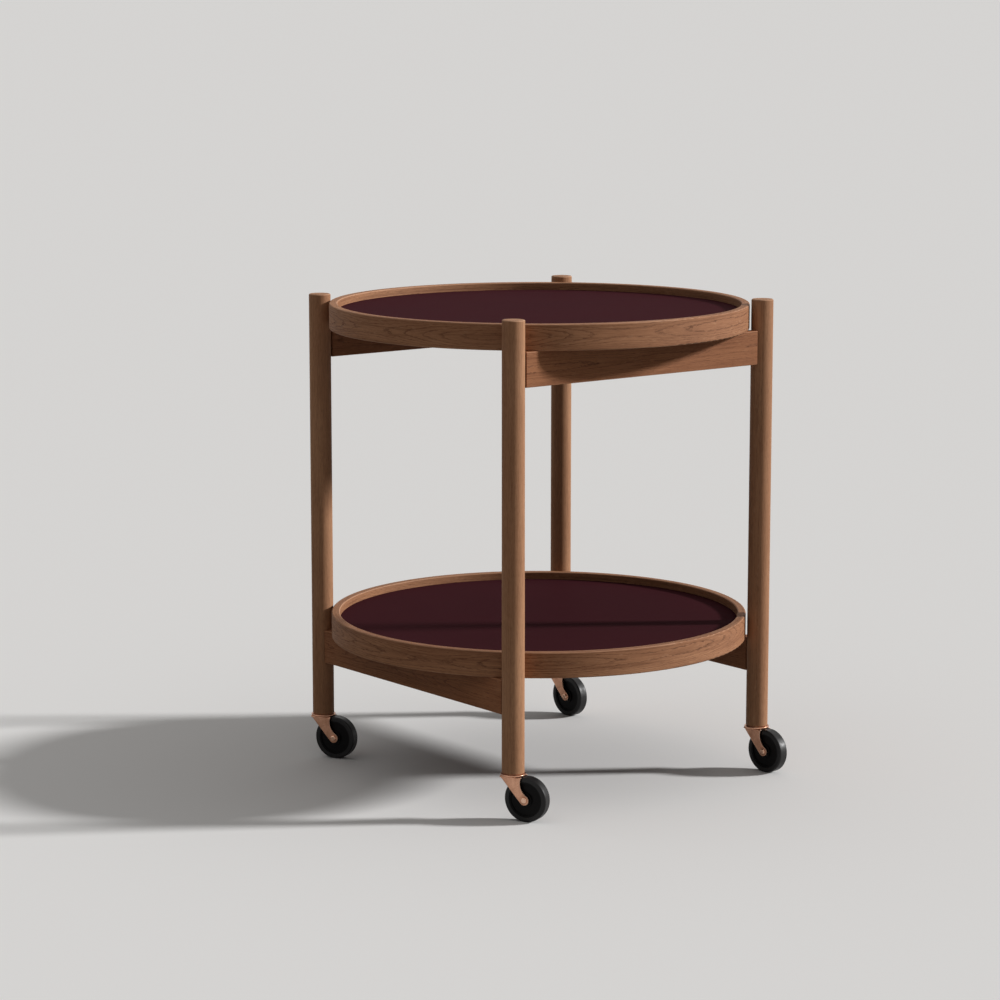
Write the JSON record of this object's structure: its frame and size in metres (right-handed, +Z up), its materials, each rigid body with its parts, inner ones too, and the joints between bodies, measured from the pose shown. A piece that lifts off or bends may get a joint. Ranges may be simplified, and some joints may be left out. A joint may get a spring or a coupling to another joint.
{
  "type": "tray table",
  "caption": "Round tray table: stacked lift-off trays with raised wooden rims rest on the rails of a light round-legged wooden frame that rolls on swivel casters.",
  "frame": {"origin": "on the floor under the middle of the table", "axes": "+Z up, +X along the top rails, +Y along the bottom rails"},
  "size_m": [0.5, 0.5, 0.57],
  "materials": {
    "oak": "oiled oak, satin",
    "dowel_wood": "plain beech",
    "board_core": "raw fibreboard",
    "laminate": "very dark burgundy laminate, satin",
    "brass": "satin, copper toned",
    "steel": "plain",
    "hub_plastic": "black",
    "tyre_rubber": "black, smooth"
  },
  "bodies": {
    "frame": {"leg_front": "oak", "leg_right": "oak", "leg_back": "oak", "leg_left": "oak", "top_rail_front": "oak", "top_rail_back": "oak", "bottom_rail_left": "oak", "bottom_rail_right": "oak", "top_rail_dowels": "dowel_wood", "bottom_rail_tongues": "steel", "bottom_rail_pivot_pins": "steel", "bottom_rail_tongue_pins": "steel", "caster_socket_front": "brass", "caster_socket_right": "brass", "caster_socket_back": "brass", "caster_socket_left": "brass"},
    "top_tray": {"top_tray_rim": "oak", "top_tray_lower_laminate": "laminate", "top_tray_board": "board_core", "top_tray_upper_laminate": "laminate"},
    "bottom_tray": {"bottom_tray_rim": "oak", "bottom_tray_lower_laminate": "laminate", "bottom_tray_board": "board_core", "bottom_tray_upper_laminate": "laminate"},
    "caster_front": {"caster_stem_front": "steel", "caster_clip_front": "steel", "caster_washer_front": "brass", "caster_fork_front": "brass", "caster_axle_front": "brass"},
    "wheel_front": {"wheel_core_front": "hub_plastic", "wheel_tyre_front": "tyre_rubber", "wheel_bush_front": "steel"},
    "caster_right": {"caster_stem_right": "steel", "caster_clip_right": "steel", "caster_washer_right": "brass", "caster_fork_right": "brass", "caster_axle_right": "brass"},
    "wheel_right": {"wheel_core_right": "hub_plastic", "wheel_tyre_right": "tyre_rubber", "wheel_bush_right": "steel"},
    "caster_back": {"caster_stem_back": "steel", "caster_clip_back": "steel", "caster_washer_back": "brass", "caster_fork_back": "brass", "caster_axle_back": "brass"},
    "wheel_back": {"wheel_core_back": "hub_plastic", "wheel_tyre_back": "tyre_rubber", "wheel_bush_back": "steel"},
    "caster_left": {"caster_stem_left": "steel", "caster_clip_left": "steel", "caster_washer_left": "brass", "caster_fork_left": "brass", "caster_axle_left": "brass"},
    "wheel_left": {"wheel_core_left": "hub_plastic", "wheel_tyre_left": "tyre_rubber", "wheel_bush_left": "steel"}
  },
  "joints": [
    {"name": "top_tray_lift", "type": "slide", "parent": "frame", "child": "top_tray", "axis": [0, 0, 1], "range_m": [0, 0.2]},
    {"name": "bottom_tray_lift", "type": "slide", "parent": "frame", "child": "bottom_tray", "axis": [0, 0, 1], "range_m": [0, 0.3]},
    {"name": "swivel_front", "type": "hinge", "parent": "frame", "child": "caster_front", "pos_m": [-0.18738, -0.18738, 0.0544], "axis": [0, 0, 1], "continuous": true},
    {"name": "wheel_front_spin", "type": "hinge", "parent": "caster_front", "child": "wheel_front", "pos_m": [-0.17978, -0.2037, 0.026], "axis": [0.9063, 0.4226, 0], "continuous": true},
    {"name": "swivel_right", "type": "hinge", "parent": "frame", "child": "caster_right", "pos_m": [0.18738, -0.18738, 0.0544], "axis": [0, 0, 1], "continuous": true},
    {"name": "wheel_right_spin", "type": "hinge", "parent": "caster_right", "child": "wheel_right", "pos_m": [0.18926, -0.20528, 0.026], "axis": [0.9945, 0.1045, 0], "continuous": true},
    {"name": "swivel_back", "type": "hinge", "parent": "frame", "child": "caster_back", "pos_m": [0.18738, 0.18738, 0.0544], "axis": [0, 0, 1], "continuous": true},
    {"name": "wheel_back_spin", "type": "hinge", "parent": "caster_back", "child": "wheel_back", "pos_m": [0.18895, 0.16945, 0.026], "axis": [0.9962, 0.0872, 0], "continuous": true},
    {"name": "swivel_left", "type": "hinge", "parent": "frame", "child": "caster_left", "pos_m": [-0.18738, 0.18738, 0.0544], "axis": [0, 0, 1], "continuous": true},
    {"name": "wheel_left_spin", "type": "hinge", "parent": "caster_left", "child": "wheel_left", "pos_m": [-0.17921, 0.17134, 0.026], "axis": [0.891, 0.454, 0], "continuous": true}
  ]
}
